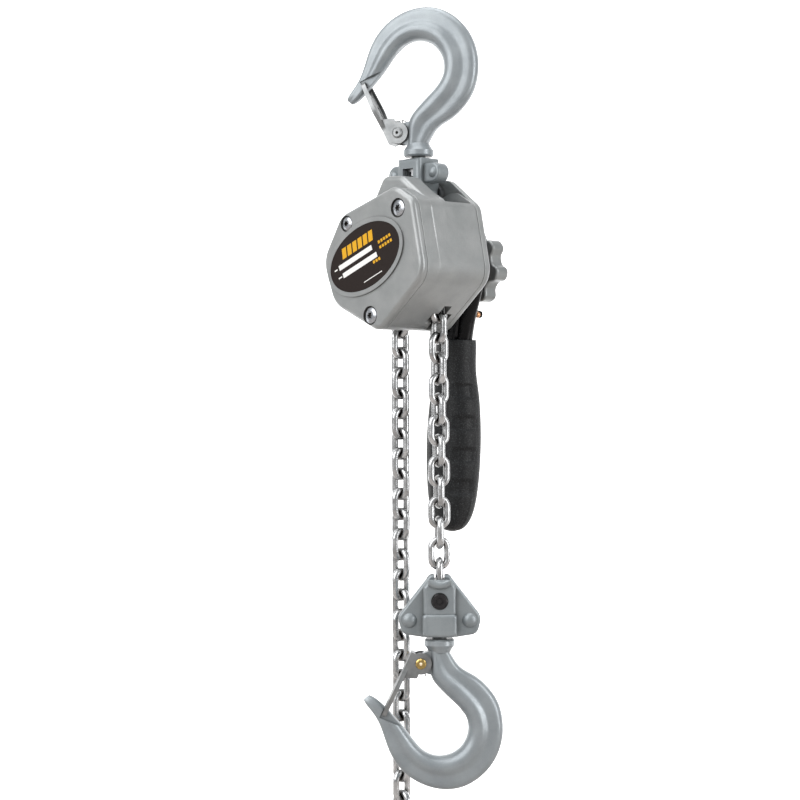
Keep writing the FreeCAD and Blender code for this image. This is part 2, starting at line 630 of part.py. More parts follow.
def main_casing():
    """Middle housing: outer wall, front hump over the yoke slot, screw posts."""
    body = slab(COVER_CORNERS, CASE_Y0, CASE_Y1)
    body = rounded_edges(body, SEAM, lambda edge: at_y(CASE_Y0)(edge) or at_y(CASE_Y1)(edge))
    hump = slab(HUMP_CORNERS, -27.5, FRONT_PLATE_Y)
    hump = rounded_edges(hump, 3.0, lambda edge: at_y(-27.5)(edge) and edge.BoundBox.ZMax > 33)
    body = body.fuse(hump)
    body = body.cut(slab(COVER_CORNERS, CASE_Y0 - 1, CASE_Y1 + 1, WALL + 0.2).cut(
        block(-60, 60, -60, 60, 31.5, 80)))
    body = body.cut(block(-60, 60, FRONT_PLATE_Y + PLATE_T, REAR_PLATE_Y, 34.3, 60))
    body = body.cut(block(-9.5, 9.5, FRONT_PLATE_Y - 0.1, FRONT_PLATE_Y + PLATE_T + 0.1, 28, 60))
    body = body.cut(block(-9.5, 9.5, REAR_PLATE_Y - 0.1, CASE_Y1 + 0.1, 28, 60))
    for x, z, radius in COVER_SCREWS:
        post = along_y(x, z, radius + 1.2, CASE_Y0, FRONT_PLATE_Y - 0.2)
        body = body.fuse(post.common(slab(COVER_CORNERS, CASE_Y0, CASE_Y1, 0.6)))
    for x, z, radius in COVER_SCREWS:
        body = body.cut(along_y(x, z, 2.0, CASE_Y0 - 1, -25.5))
    body = body.cut(along_y(0, PIN_Z, PIN_R + 0.02, -24, 30))
    body = body.cut(chain_exit(STRAND_X))
    body = body.cut(chain_exit(-STRAND_X))
    return body.removeSplitter()


def brake_cover():
    """Rear shell with the rear hump and a round boss round the brake."""
    body = slab(HUMP_CORNERS, CASE_Y1, BRAKE_Y1)
    body = rounded_edges(body, 3.2, at_y(BRAKE_Y1))
    body = rounded_edges(body, SEAM, at_y(CASE_Y1))
    body = body.fuse(along_y(0, 0, 23.0, CASE_Y1 + 1, BOSS_Y1))
    body = rounded_edges(body, 1.2, outer_at_y(BOSS_Y1, 10))
    inner = slab(COVER_CORNERS, CASE_Y1 - 1, RATCHET_Y[1] + 0.15, WALL + 0.4)
    inner = inner.cut(block(-60, 60, -60, 60, 31.5, 80))
    body = body.cut(inner)
    body = body.cut(along_y(0, 0, 20.6, CASE_Y1 - 1, BOSS_Y1 - 1.4))
    body = body.cut(along_y(0, 0, NUT_FLANGE_R + 0.4, CASE_Y1 - 1, BOSS_Y1 + 1))
    body = body.cut(along_y(0, PIN_Z, PIN_R + 0.02, -24, CASE_Y1 + 2.5))
    return body.removeSplitter()


def frame_plate(y0, bearing_r):
    """Flat steel plate with an ear that carries the suspension pin."""
    plate = slab(COVER_CORNERS, y0, y0 + PLATE_T, WALL + 0.8)
    plate = plate.cut(block(-60, 60, -60, 60, 31.0, 80))
    ear = slab([(-9, 28, 0.6), (-9, 48, 7.5), (9, 48, 7.5), (9, 28, 0.6)], y0, y0 + PLATE_T)
    plate = plate.fuse(ear)
    plate = plate.cut(along_y(0, PIN_Z, PIN_R + 0.02, y0 - 1, y0 + PLATE_T + 1))
    plate = plate.cut(along_y(0, 0, bearing_r + 0.02, y0 - 1, y0 + PLATE_T + 1))
    for x, z in SPACERS:
        plate = plate.cut(along_y(x, z, 2.0, y0 - 1, y0 + PLATE_T + 1))
    return plate.removeSplitter()


def frame_spacer(x, z):
    body = along_y(x, z, 3.4, FRONT_PLATE_Y + PLATE_T, REAR_PLATE_Y)
    return body.fuse(along_y(x, z, 1.95, FRONT_PLATE_Y, REAR_PLATE_Y + PLATE_T)).removeSplitter()


def front_plate():
    plate = frame_plate(FRONT_PLATE_Y, BEARING_R)
    for x, z in gear_centres():
        plate = plate.cut(along_y(x, z, 2.5 + RUN, FRONT_PLATE_Y - 1, FRONT_PLATE_Y + PLATE_T + 1))
    return plate


def suspension_pin():
    return along_y(0, PIN_Z, PIN_R, -22.5, CASE_Y1 + 2.4)


def chain_guide():
    """Cast block under the sheave that keeps both strands on line."""
    body = block(-25.5, 25.5, -10.8, 9.4, -27.5, -20.6)
    body = body.common(slab(COVER_CORNERS, -10.8, 9.4, WALL + 0.6))
    body = body.cut(chain_exit(STRAND_X).fuse(chain_exit(-STRAND_X)))
    body = body.cut(along_y(0, 0, SHEAVE_R + 0.6, -20, 20))
    body = body.cut(block(-2.2, 2.2, -2.2, 2.2, -30, -18))
    for x, z in SPACERS:
        body = body.cut(along_y(x, z, 3.5, -20, 20))
    return body.removeSplitter().Solids


def chain_stripper():
    """Flat finger that lifts the links out of the sheave's groove."""
    return polygon_slab([(-2.0, -25.2), (2.0, -25.2), (2.0, -19.5), (5.5, -10.4), (0, -8.4),
                         (-5.5, -10.4), (-2.0, -19.5)], -1.7, 1.7)


# ---- chain sheave and gear train ----------------------------------------------------------


def load_sheave():
    """Four-pocket sheave, hollow for the drive shaft, with a journal at each side."""
    wheel = along_y(0, 0, SHEAVE_R, -8.6, 8.6)
    wheel = wheel.cut(ring(0, 0, SHEAVE_R + 1, 8.2, -2.4, 2.4))
    for k in range(4):
        pocket = block(11.5, 30, -7.1, 7.1, -10.6, 10.6)
        wheel = wheel.cut(tilted(pocket, POCKET_ANGLE + 90 * k))
    wheel = rounded_edges(wheel, 0.8, lambda edge: abs(edge.BoundBox.YMin) > 8.59
                          and abs(edge.BoundBox.YMax) > 8.59)
    journal = along_y(0, 0, SHEAVE_HUB_R, FRONT_PLATE_Y - 0.3, REAR_PLATE_Y + PLATE_T)
    spline = along_y(0, 0, 5.4, -21.8, FRONT_PLATE_Y)
    wheel = wheel.fuse(journal).fuse(spline).cut(along_y(0, 0, SHAFT_R + RUN, -40, 40))
    return wheel.removeSplitter()


def sheave_bearing(y0):
    """Needle bearing ring pressed into a frame plate."""
    return ring(0, 0, BEARING_R, SHEAVE_HUB_R + RUN, y0, y0 + PLATE_T)


def gear(teeth, x, z, y0, y1, bore, phase):
    """Straight gear; flanks are involutes of the pitch circle with a little backlash."""
    pitch_r = MODULE * teeth / 2
    base_r = pitch_r * math.cos(math.radians(20))
    tip_r = pitch_r + 0.82 * MODULE
    root_r = pitch_r - 1.12 * MODULE
    spread = math.tan(math.radians(20)) - math.radians(20)
    half_pitch = math.pi / (2 * teeth) - 0.09 / pitch_r

    def flank_angle(radius):
        if radius <= base_r:
            return half_pitch + spread
        alpha = math.acos(base_r / radius)
        return half_pitch + spread - (math.tan(alpha) - alpha)

    start = max(base_r, root_r)
    radii = [start + (tip_r - start) * k / 4 for k in range(5)]
    if root_r < base_r:
        radii = [root_r] + radii
    points = []
    for tooth in range(teeth):
        centre = phase + 2 * math.pi * tooth / teeth
        left = [(r, centre - flank_angle(r)) for r in radii]
        right = [(r, centre + flank_angle(r)) for r in reversed(radii)]
        for radius, angle in left + right:
            points.append((x + radius * math.cos(angle), z + radius * math.sin(angle)))
    solid = polygon_slab(points, y0, y1)
    return solid.cut(along_y(x, z, bore, y0 - 1, y1 + 1)) if bore else solid


def gear_centres():
    angles = [math.radians(GEAR_ANGLE), math.radians(GEAR_ANGLE + 180)]
    return [(GEAR_CENTRE * math.cos(a), GEAR_CENTRE * math.sin(a)) for a in angles]


def mesh_phase(angle, teeth, driver_teeth, driver_phase):
    """Phase that puts a tooth gap of this gear on the driver's tooth along the line of centres."""
    back = angle + math.pi
    gap = math.pi / teeth
    driver_tooth = (angle - driver_phase) * driver_teeth / teeth
    return back + gap + driver_tooth


def load_gear():
    return gear(WHEEL_TEETH, 0, 0, -21.6, -17.0, 5.4, 0.0)


def intermediate_gear(index):
    """Large wheel driven by the pinion and a small one that drives the load gear."""
    x, z = gear_centres()[index]
    angle = math.radians(GEAR_ANGLE + 180 * index)
    wheel = gear(WHEEL_TEETH, x, z, -33.0, -28.6, 0, mesh_phase(angle, WHEEL_TEETH, PINION_TEETH, 0.0))
    small = gear(PINION_TEETH, x, z, -28.7, -16.6, 0, mesh_phase(angle, PINION_TEETH, WHEEL_TEETH, 0.0))
    front = along_y(x, z, 2.5, -36.2, -32.9)
    rear = along_y(x, z, 2.5, -16.7, FRONT_PLATE_Y + PLATE_T)
    return wheel.multiFuse([small, front, rear]).removeSplitter()


def drive_shaft():
    """Pinion shaft through the hollow sheave, with the brake thread and the knob's square end."""
    pinion = gear(PINION_TEETH, 0, 0, -33.2, -27.0, 0, 0.0)
    front = along_y(0, 0, 2.4, -38.2, -33.1)
    middle = along_y(0, 0, SHAFT_R, -27.1, 13.2)
    thread = along_y(0, 0, 5.0, 13.1, 36.5)
    square = block(-2.6, 2.6, 36.4, 50.2, -2.6, 2.6).common(along_y(0, 0, 3.4, 36.4, 50.2))
    end = along_y(0, 0, 2.0, 50.1, 56.6)
    return pinion.multiFuse([front, middle, thread, square, end]).removeSplitter()


# ---- load brake ---------------------------------------------------------------------------


def brake_hub():
    return ring(0, 0, NUT_FLANGE_R, 5.0, *HUB_Y)


def friction_disc(span):
    return ring(0, 0, NUT_FLANGE_R - 0.3, 7.2, *span)


def ratchet_disc():
    """Saw-toothed disc between the friction linings."""
    outer, root = 18.0, 15.6
    points = []
    for k in range(RATCHET_TEETH):
        a0 = 2 * math.pi * k / RATCHET_TEETH
        a1 = 2 * math.pi * (k + 0.94) / RATCHET_TEETH
        points.append((root * math.cos(a0), root * math.sin(a0)))
        points.append((outer * math.cos(a1), outer * math.sin(a1)))
    disc = polygon_slab(points, *RATCHET_Y)
    return disc.cut(along_y(0, 0, 7.2, 14, 19))


def pawl(index):
    """Ratchet pawl about its post, nose resting in a tooth gap."""
    px, pz = PAWL_POSTS[index]
    turn = math.degrees(math.atan2(pz, px))
    body = along_y(24.0, 0, 3.2, RATCHET_Y[0], RATCHET_Y[1])
    arm = polygon_slab([(22.2, 2.6), (25.8, -2.6), (20.2, -11.2), (17.9, -11.0), (18.4, -8.6)],
                       RATCHET_Y[0], RATCHET_Y[1])
    shape = body.fuse(arm).removeSplitter()
    shape = shape.cut(along_y(24.0, 0, 1.5 + RUN, 10, 20))
    shape = tilted(shape, -turn)
    offset = math.hypot(px, pz) - 24.0
    return moved(shape, offset * math.cos(math.radians(turn)), 0, offset * math.sin(math.radians(turn)))


def pawl_post(index):
    x, z = PAWL_POSTS[index]
    post = along_y(x, z, 1.5, REAR_PLATE_Y + PLATE_T, 16.4)
    return post.fuse(along_y(x, z, 2.6, REAR_PLATE_Y + PLATE_T, RATCHET_Y[0] - 0.1)).removeSplitter()


def moving_nut():
    """Nut with the outer brake face and the change gear that the lever's pawl drives."""
    flange = along_y(0, 0, NUT_FLANGE_R, DISC_B_Y[1], 20.6)
    hub = along_y(0, 0, 8.6, 20.5, 24.4)
    teeth = revolve_y([(0, 24.3), (11.6, 24.3), (11.6, 33.5), (0, 33.5)])
    for k in range(CHANGE_TEETH):
        teeth = teeth.cut(tilted(along_y(12.4, 0, 1.9, 24, 34), 360.0 * k / CHANGE_TEETH))
    tail = along_y(0, 0, 7.4, 33.4, 39.0)
    return flange.multiFuse([hub, teeth, tail]).cut(along_y(0, 0, 5.0, 10, 50)).removeSplitter()


# ---- lever --------------------------------------------------------------------------------
def lever_inner():
    """Inner half of the lever's shell: a hub disc with the neck's back plate."""
    disc = along_y(0, 0, 21.5, 21.1, 23.6)
    neck = slab([(-12, -6, 3), (12, -6, 3), (7.6, -43.6, 2), (-7.6, -43.6, 2)], 24.0, 26.2)
    step = slab([(-15, -12, 3), (15, -12, 3), (12, -26, 3), (-12, -26, 3)], 21.1, 26.2)
    body = disc.fuse(step.common(along_y(0, 0, 25, 20, 30))).fuse(neck)
    body = body.cut(along_y(0, 0, 11.9, 23.6, 30))
    body = body.cut(along_y(0, 0, 8.6 + RUN, 20, 30))
    for x, z in LEVER_SCREWS:
        body = body.cut(along_y(x, z, 1.5, 20, 30))
        if z > -30:
            body = body.cut(along_y(x, z, LEVER_SCREW_HEAD_R + 0.05, 20, 22.4))
    return tilted(body.removeSplitter(), LEVER_TILT)


def lever_outer():
    """Outer shell of the lever: domed hub, hollow round the change gear, tapering into the neck."""
    hub = revolve_y([(0, 23.7), (21.5, 23.7), (21.5, 29.5), (19.5, 34.5), (14.5, 39.5), (9, 41.5),
                     (0, 41.5)])
    neck_section = [(-4, 19.0, 7.0), (-14, 18.6, 7.1), (-22, 16.2, 7.2), (-32, 13.2, 7.3),
                    (-44.5, 10.8, 7.3)]
    sections = []
    for z, half_x, half_y in neck_section:
        centre_y = 34.6 + (z + 4) * 0.012
        ellipse = Part.Ellipse(Vector(0, 0, 0), half_x, half_y)
        wire = Part.Wire(ellipse.toShape())
        wire.translate(Vector(0, centre_y, z))
        sections.append(wire)
    neck = Part.makeLoft(sections, True, False)
    neck = neck.cut(block(-30, 30, 10, 26.25, -60, 10))
    body = hub.fuse(neck)
    body = body.cut(revolve_y([(0, 20), (13.4, 20), (13.4, 34.2), (0, 34.2)]))
    body = body.cut(along_y(0, 0, 7.4 + RUN, 20, 50))
    body = body.cut(block(-6.4, 6.4, 20, 32.2, -33, -8))
    body = body.cut(along_y(SELECTOR_X, SELECTOR_Z, 2.0 + RUN, 30, 50))
    body = body.cut(block(-30, 30, 20, 23.7, -60, -4).common(along_y(0, 0, 25.2, 20, 30)))
    body = body.cut(block(-15.4, 15.4, 20, 26.25, -27, -5))
    body = body.cut(tang_blank())
    for x, z in LEVER_SCREWS:
        body = body.cut(along_y(x, z, 1.5, 20, 32))
    return tilted(body.removeSplitter(), LEVER_TILT)


def lever_screw(x, z):
    low = 21.15 if z > -30 else 22.7
    head = along_y(x, z, LEVER_SCREW_HEAD_R, low, low + 1.25)
    return tilted(head.fuse(along_y(x, z, 1.45, low, 30.5)).removeSplitter(), LEVER_TILT)


def tang_blank():
    return slab([(-5.5, -35, 1), (5.5, -35, 1), (5.5, -140, 4), (-5.5, -140, 4)], 32.7, 36.2)


def lever_tang():
    """Flat steel tang that runs from the neck down inside the grip."""
    return tilted(tang_blank(), LEVER_TILT)


def lever_grip():
    """Moulded rubber grip, fuller towards its end, with four finger hollows on the +X side."""
    sections = []
    for z, half_x, half_y in GRIP_STATIONS:
        wire = Part.Wire(Part.Ellipse(Vector(0, 0, 0), half_x, half_y).toShape())
        wire.translate(Vector(0, GRIP_Y, z))
        sections.append(wire)
    grip = Part.makeLoft(sections, True, False)
    for k in range(4):
        z = GRIP_FIRST_HOLLOW - GRIP_HOLLOW_STEP * k
        reach = GRIP_HOLLOW_X[k]
        hollow = Part.makeTorus(15.0, 5.0, Vector(reach + 18.4, GRIP_Y, z), Vector(0, 0, 1))
        grip = grip.cut(hollow.common(block(reach - 6, 60, -40, 80, z - 20, z + 20)))
    grip = grip.cut(tang_blank())
    grip = grip.cut(neck_plug())
    return tilted(grip, LEVER_TILT)


def neck_plug():
    """Room at the grip's mouth for the lower end of the neck."""
    wire = Part.Wire(Part.Ellipse(Vector(0, 0, 0), 10.95, 7.6).toShape())
    plug = Part.Face(wire).extrude(Vector(0, 0, 4))
    return moved(plug, 0, 34.1, -46.4)


def change_pawl():
    """Double-ended pawl that locks the lever to the change gear, swung by the selector."""
    body = along_y(SELECTOR_X, SELECTOR_Z, 4.2, 26.6, 31.5)
    nose = polygon_slab([(-3.6, SELECTOR_Z + 2), (3.6, SELECTOR_Z + 2), (1.3, -12.0), (-1.3, -12.0)],
                        26.6, 31.5)
    pawl_body = body.fuse(nose).removeSplitter()
    return tilted(pawl_body.cut(along_y(SELECTOR_X, SELECTOR_Z, 2.0, 20, 40)), LEVER_TILT)


def selector_shaft():
    """Short shaft that carries the change pawl, with the selector lever outside the shell."""
    shaft = along_y(SELECTOR_X, SELECTOR_Z, 2.0, 26.5, 45.4)
    return tilted(shaft, LEVER_TILT)


def selector_lever():
    """Small thumb arm behind the neck that carries the ball on its forward side."""
    boss = along_y(SELECTOR_X, SELECTOR_Z, 3.4, 43.0, 45.6)
    arm = slab([(SELECTOR_X - 2.6, SELECTOR_Z + 2.2, 1.2), (SELECTOR_X + 10.0, SELECTOR_Z + 0.2, 1.9),
                (SELECTOR_X + 10.0, SELECTOR_Z - 4.0, 1.9), (SELECTOR_X - 2.6, SELECTOR_Z - 3.2, 1.2)],
               44.2, 45.6)
    shape = boss.fuse(arm).cut(along_y(SELECTOR_X, SELECTOR_Z, 2.0, 42, 46))
    return tilted(shape.removeSplitter(), LEVER_TILT)


def selector_ball():
    """Copper-coloured ball stud that the thumb pushes."""
    x = SELECTOR_X + 8.8
    z = SELECTOR_Z - 1.9
    neck = along_y(x, z, 1.1, 43.2, 44.2)
    ball = Part.makeSphere(1.9, Vector(x, 42.2, z))
    return tilted(neck.fuse(ball).removeSplitter(), LEVER_TILT)


# ---- free-chain knob ----------------------------------------------------------------------


def free_wheel_knob():
    """Cast star knob with seven lobes, dished at the back, on the shaft's square end."""
    points = []
    samples = KNOB_LOBES * 12
    for k in range(samples):
        angle = 2 * math.pi * k / samples
        wave = math.cos(KNOB_LOBES * (angle - math.pi / 2))
        radius = KNOB_MEAN_R + KNOB_LOBE * math.tanh(1.6 * wave) / math.tanh(1.6)
        points.append(Vector(radius * math.cos(angle), KNOB_Y0, radius * math.sin(angle)))
    curve = Part.BSplineCurve()
    curve.interpolate(Points=points, PeriodicFlag=True)
    star = Part.Face(Part.Wire(curve.toShape())).extrude(Vector(0, KNOB_Y1 - KNOB_Y0, 0))
    star = rounded_edges(star, 1.5, lambda edge: at_y(KNOB_Y0)(edge) or at_y(KNOB_Y1)(edge))
    star = star.cut(revolve_y([(0, KNOB_Y0 - 1), (12.5, KNOB_Y0 - 1), (12.5, KNOB_Y0 + 3.0),
                               (0, KNOB_Y0 + 3.0)]))
    hub = along_y(0, 0, 6.4, 42.2, KNOB_Y0 + 4)
    cup = revolve_y([(0, KNOB_Y1 - 4.6), (5.4, KNOB_Y1 - 4.6), (7.6, KNOB_Y1 + 1), (0, KNOB_Y1 + 1)])
    knob = star.fuse(hub).cut(cup)
    square = block(-2.65, 2.65, 40, 60, -2.65, 2.65).common(along_y(0, 0, 3.45, 40, 60))
    return knob.cut(square).removeSplitter()


def knob_nut():
    nut = hexagon(0, 0, 7.0, 50.2 + KNOB_TRAVEL, 53.2 + KNOB_TRAVEL)
    return nut.cut(along_y(0, 0, 2.0, 49, 60))


# ---- the pieces and their files -----------------------------------------------------------
def pieces():
    """Every node's name and the solids in it."""
    yield "top_hook", as_top(forged_hook())
    yield "top_hook_nut", as_top(hook_nut())
    yield "top_hook_washer", as_top(hook_washer())
    yield "top_latch", as_top(latch_plate())
    yield "top_latch_rivet", as_top(latch_rivet())
    yield "top_latch_spring", as_top(latch_spring())
    yield "top_yoke_front", top_yoke_half(-1)
    yield "top_yoke_back", top_yoke_half(1)
    yield "top_yoke_rivets", [dome_rivet(x, YOKE_RIVET_Z, 3.2, -TOP_WING_Y, TOP_WING_Y, 1.7)
                              for x in (-YOKE_RIVET_X, YOKE_RIVET_X)]
    yield "suspension_pin", suspension_pin()
    yield "gear_cover", gear_cover()
    yield "rating_plate", label_plate()
    yield "cover_screws", [cover_screw(*screw) for screw in COVER_SCREWS]
    yield "main_casing", main_casing()
    yield "brake_cover", brake_cover()
    yield "front_frame_plate", front_plate()
    yield "rear_frame_plate", frame_plate(REAR_PLATE_Y, BEARING_R)
    yield "frame_spacers", [frame_spacer(x, z) for x, z in SPACERS]
    yield "chain_guide", chain_guide()
    yield "chain_stripper", chain_stripper()
    yield "sheave_bearings", [sheave_bearing(FRONT_PLATE_Y), sheave_bearing(REAR_PLATE_Y)]
    yield "load_sheave", load_sheave()
    yield "load_gear", load_gear()
    yield "intermediate_gear_a", intermediate_gear(0)
    yield "intermediate_gear_b", intermediate_gear(1)
    yield "drive_shaft", drive_shaft()
    yield "brake_hub", brake_hub()
    yield "friction_discs", [friction_disc(DISC_A_Y), friction_disc(DISC_B_Y)]
    yield "ratchet_disc", ratchet_disc()
    yield "ratchet_pawl_a", pawl(0)
    yield "ratchet_pawl_b", pawl(1)
    yield "pawl_posts", [pawl_post(0), pawl_post(1)]
    yield "change_gear", moving_nut()
    yield "lever_inner_shell", lever_inner()
    yield "lever_outer_shell", lever_outer()
    yield "lever_tang", lever_tang()
    yield "lever_grip", lever_grip()
    yield "lever_screws", [lever_screw(x, z) for x, z in LEVER_SCREWS]
    yield "change_pawl", change_pawl()
    yield "selector_shaft", selector_shaft()
    yield "selector_lever", selector_lever()
    yield "selector_ball", selector_ball()
    yield "free_wheel_knob", free_wheel_knob()
    yield "knob_nut", knob_nut()
    yield "load_chain", load_strand()
    yield "sheave_chain", sheave_links()
    yield "slack_chain", slack_strand()
    yield "chain_end_ring", slack_end()
    yield "bottom_yoke_front", on_load_strand(bottom_yoke_half(-1))
    yield "bottom_yoke_back", on_load_strand(bottom_yoke_half(1))
    yield "bottom_yoke_rivets", [on_load_strand(dome_rivet(x, BOTTOM_RIVET_Z, 4.4, -BOTTOM_WING_Y,
                                                           BOTTOM_WING_Y, 2.4))
                                 for x in (-BOTTOM_RIVET_X, BOTTOM_RIVET_X)]
    yield "chain_pin", on_load_strand(chain_pin())
    yield "chain_pin_nut", on_load_strand(chain_pin_nut())
    yield "bottom_hook", as_bottom(forged_hook())
    yield "bottom_hook_nut", as_bottom(hook_nut())
    yield "bottom_hook_washer", as_bottom(hook_washer())
    yield "bottom_latch", as_bottom(latch_plate())
    yield "bottom_latch_rivet", as_bottom(latch_rivet())
    yield "bottom_latch_spring", as_bottom(latch_spring())


def main():
    os.makedirs("parts", exist_ok=True)
    for name, made in pieces():
        shape = Part.makeCompound(made) if isinstance(made, list) else made
        shape = moved(shape, z=-TOP_BOWL_Z)
        solids = shape.Solids
        if len(solids) == 1:
            shape = solids[0]
        shape.exportStep("parts/" + name + ".step")
        print(name, len(solids), "solids", round(shape.Volume), "mm3", shape.isValid())


main()
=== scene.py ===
import json
import math

import bpy
from mathutils import Matrix, Vector


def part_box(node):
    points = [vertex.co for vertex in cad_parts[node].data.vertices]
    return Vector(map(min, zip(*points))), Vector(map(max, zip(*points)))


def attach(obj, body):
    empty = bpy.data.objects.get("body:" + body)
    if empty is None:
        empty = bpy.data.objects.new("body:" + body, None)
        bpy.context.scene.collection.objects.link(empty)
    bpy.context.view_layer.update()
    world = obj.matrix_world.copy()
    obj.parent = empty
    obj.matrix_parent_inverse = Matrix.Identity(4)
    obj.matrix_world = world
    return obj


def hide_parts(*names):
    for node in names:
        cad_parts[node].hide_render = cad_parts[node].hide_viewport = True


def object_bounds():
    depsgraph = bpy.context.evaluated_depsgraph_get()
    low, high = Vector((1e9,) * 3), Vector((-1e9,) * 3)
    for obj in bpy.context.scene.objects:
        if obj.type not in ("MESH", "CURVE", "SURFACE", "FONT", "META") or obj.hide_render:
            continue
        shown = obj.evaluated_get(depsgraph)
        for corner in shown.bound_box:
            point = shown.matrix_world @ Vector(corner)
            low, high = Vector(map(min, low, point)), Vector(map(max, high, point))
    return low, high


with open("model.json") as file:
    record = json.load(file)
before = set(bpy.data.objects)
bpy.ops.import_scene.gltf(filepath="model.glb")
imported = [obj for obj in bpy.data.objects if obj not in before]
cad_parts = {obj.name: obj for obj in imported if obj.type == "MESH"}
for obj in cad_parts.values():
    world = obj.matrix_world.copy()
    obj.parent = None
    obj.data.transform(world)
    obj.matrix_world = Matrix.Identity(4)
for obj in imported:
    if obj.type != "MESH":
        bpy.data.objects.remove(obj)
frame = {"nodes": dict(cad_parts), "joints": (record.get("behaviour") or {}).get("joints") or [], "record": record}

CAD_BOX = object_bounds()
NODES = frame["nodes"]
JOINTS = {joint["name"]: joint for joint in frame["joints"]}
SHAFT = Vector(JOINTS["lever_swing"]["pos_m"])      # a point on the drive shaft's axis
LEVER_TILT = math.radians(2.2)                      # the lever hangs this far from plumb
MM = 0.001

# rating plate print, mm about the plate's centre: along, up, length, height of each plain block
PLATE_X = -4.0
PLATE_UP = 2.8
PLATE_TURN = math.radians(22.0)
PRINT_PROUD, PRINT_SUNK = 0.06, 0.02        # how far a block stands out of the plate and into it
WHITE_BLOCKS = [(-7.25, 2.6, 29.5, 3.0), (-5.35, -2.8, 30.3, 3.0), (-24.75, 2.6, 2.5, 0.8),
                (-23.0, -2.8, 3.0, 0.8), (2.0, -13.5, 16.0, 0.5)]
TITLE_BLOCKS = 6
TITLE_START, TITLE_STEP = -14.6, 4.7
TITLE_SIZE = (3.6, 6.0)
TITLE_UP = 9.2
TITLE_SLANT = 0.25
SMALL_ROWS = [(14.0, 3.0, 5), (14.0, -0.2, 5), (6.0, -6.0, 3)]      # start, up, number of blocks
SMALL_STEP = 2.3
SMALL_SIZE = (1.6, 1.7)

# grip stations, mm about the shaft: height, half width, half depth
GRIP_STATIONS = [(-43.7, 12.4, 10.2), (-46.5, 12.6, 10.5), (-62.0, 13.0, 10.7), (-80.0, 16.2, 12.0),
                 (-98.0, 17.6, 12.9), (-114.0, 17.7, 13.0), (-130.0, 16.8, 12.5),
                 (-144.0, 14.6, 11.3), (-153.0, 11.0, 9.2), (-158.2, 6.0, 5.4),
                 (-159.5, 1.4, 1.2)]
GRIP_Y = 33.6
GRIP_POWER = 2.3                  # 2 is an ellipse, more is squarer
GRIP_RINGS, GRIP_SIDES = 150, 112
HOLLOW_FIRST, HOLLOW_STEP, HOLLOWS = -74.6, -19.1, 4
HOLLOW_DEPTH = 1.5
HOLLOW_HALF = 3.0                 # half height of a hollow's floor
HOLLOW_BLEND = 2.2                # height over which its edge rises
RIDGE_HEIGHT, RIDGE_HALF = 0.35, 0.06     # mould ridge: mm proud, half width in radians


# ---- mesh helper ---------------------------------------------------------------------------
def mesh_object(name, vertices, faces, material):
    """A mesh with one material, as an object in the scene."""
    mesh = bpy.data.meshes.new(name)
    mesh.from_pydata(vertices, [], faces)
    mesh.materials.append(material)
    mesh.validate()
    piece = bpy.data.objects.new(name, mesh)
    bpy.context.scene.collection.objects.link(piece)
    return piece


# ---- material helpers ----------------------------------------------------------------------
def new_material(name):
    """An empty node material with a Principled shader; returns (material, nodes, links, shader)."""
    material = bpy.data.materials.new(name)
    material.use_nodes = True
    tree = material.node_tree
    tree.nodes.clear()
    shader = tree.nodes.new("ShaderNodeBsdfPrincipled")
    output = tree.nodes.new("ShaderNodeOutputMaterial")
    tree.links.new(shader.outputs["BSDF"], output.inputs["Surface"])
    return material, tree.nodes, tree.links, shader


def noise(nodes, links, scale, detail=3.0, roughness=0.55):
    """Noise in object space, in lumps per metre."""
    coords = nodes.new("ShaderNodeTexCoord")
    texture = nodes.new("ShaderNodeTexNoise")
    texture.inputs["Scale"].default_value = scale
    texture.inputs["Detail"].default_value = detail
    texture.inputs["Roughness"].default_value = roughness
    links.new(coords.outputs["Object"], texture.inputs["Vector"])
    return texture.outputs["Fac"]


def ramp(nodes, links, value, low, high, start=0.0, end=1.0):
    """Map value between start and end on to a colour from low to high."""
    node = nodes.new("ShaderNodeValToRGB")
    node.color_ramp.elements[0].position = start
    node.color_ramp.elements[0].color = (*low, 1.0)
    node.color_ramp.elements[1].position = end
    node.color_ramp.elements[1].color = (*high, 1.0)
    links.new(value, node.inputs["Fac"])
    return node.outputs["Color"]


def remap(nodes, links, value, low, high, start=0.3, end=0.7):
    """Map value between start and end on to a number from low to high."""
    node = nodes.new("ShaderNodeMapRange")
    node.inputs["From Min"].default_value = start
    node.inputs["From Max"].default_value = end
    node.inputs["To Min"].default_value = low
    node.inputs["To Max"].default_value = high
    links.new(value, node.inputs["Value"])
    return node.outputs["Result"]


def multiply(nodes, links, colour, factor_colour, amount):
    """Colour times factor_colour, mixed in by amount."""
    node = nodes.new("ShaderNodeMix")
    node.data_type = "RGBA"
    node.blend_type = "MULTIPLY"
    node.inputs["Factor"].default_value = amount
    links.new(colour, node.inputs["A"])
    links.new(factor_colour, node.inputs["B"])
    return node.outputs["Result"]


def painted_crevice_shade(nodes, links, distance):
    """Painted shade: dark in corners and recesses, white on open surfaces."""
    node = nodes.new("ShaderNodeAmbientOcclusion")
    node.inputs["Distance"].default_value = distance
    node.samples = 16
    return node.outputs["Color"]


def bump(nodes, links, shader, height, strength, distance):
    """Raise the shader's surface by height, in metres times strength."""
    node = nodes.new("ShaderNodeBump")
    node.inputs["Strength"].default_value = strength
    node.inputs["Distance"].default_value = distance
    links.new(height, node.inputs["Height"])
    links.new(node.outputs["Normal"], shader.inputs["Normal"])


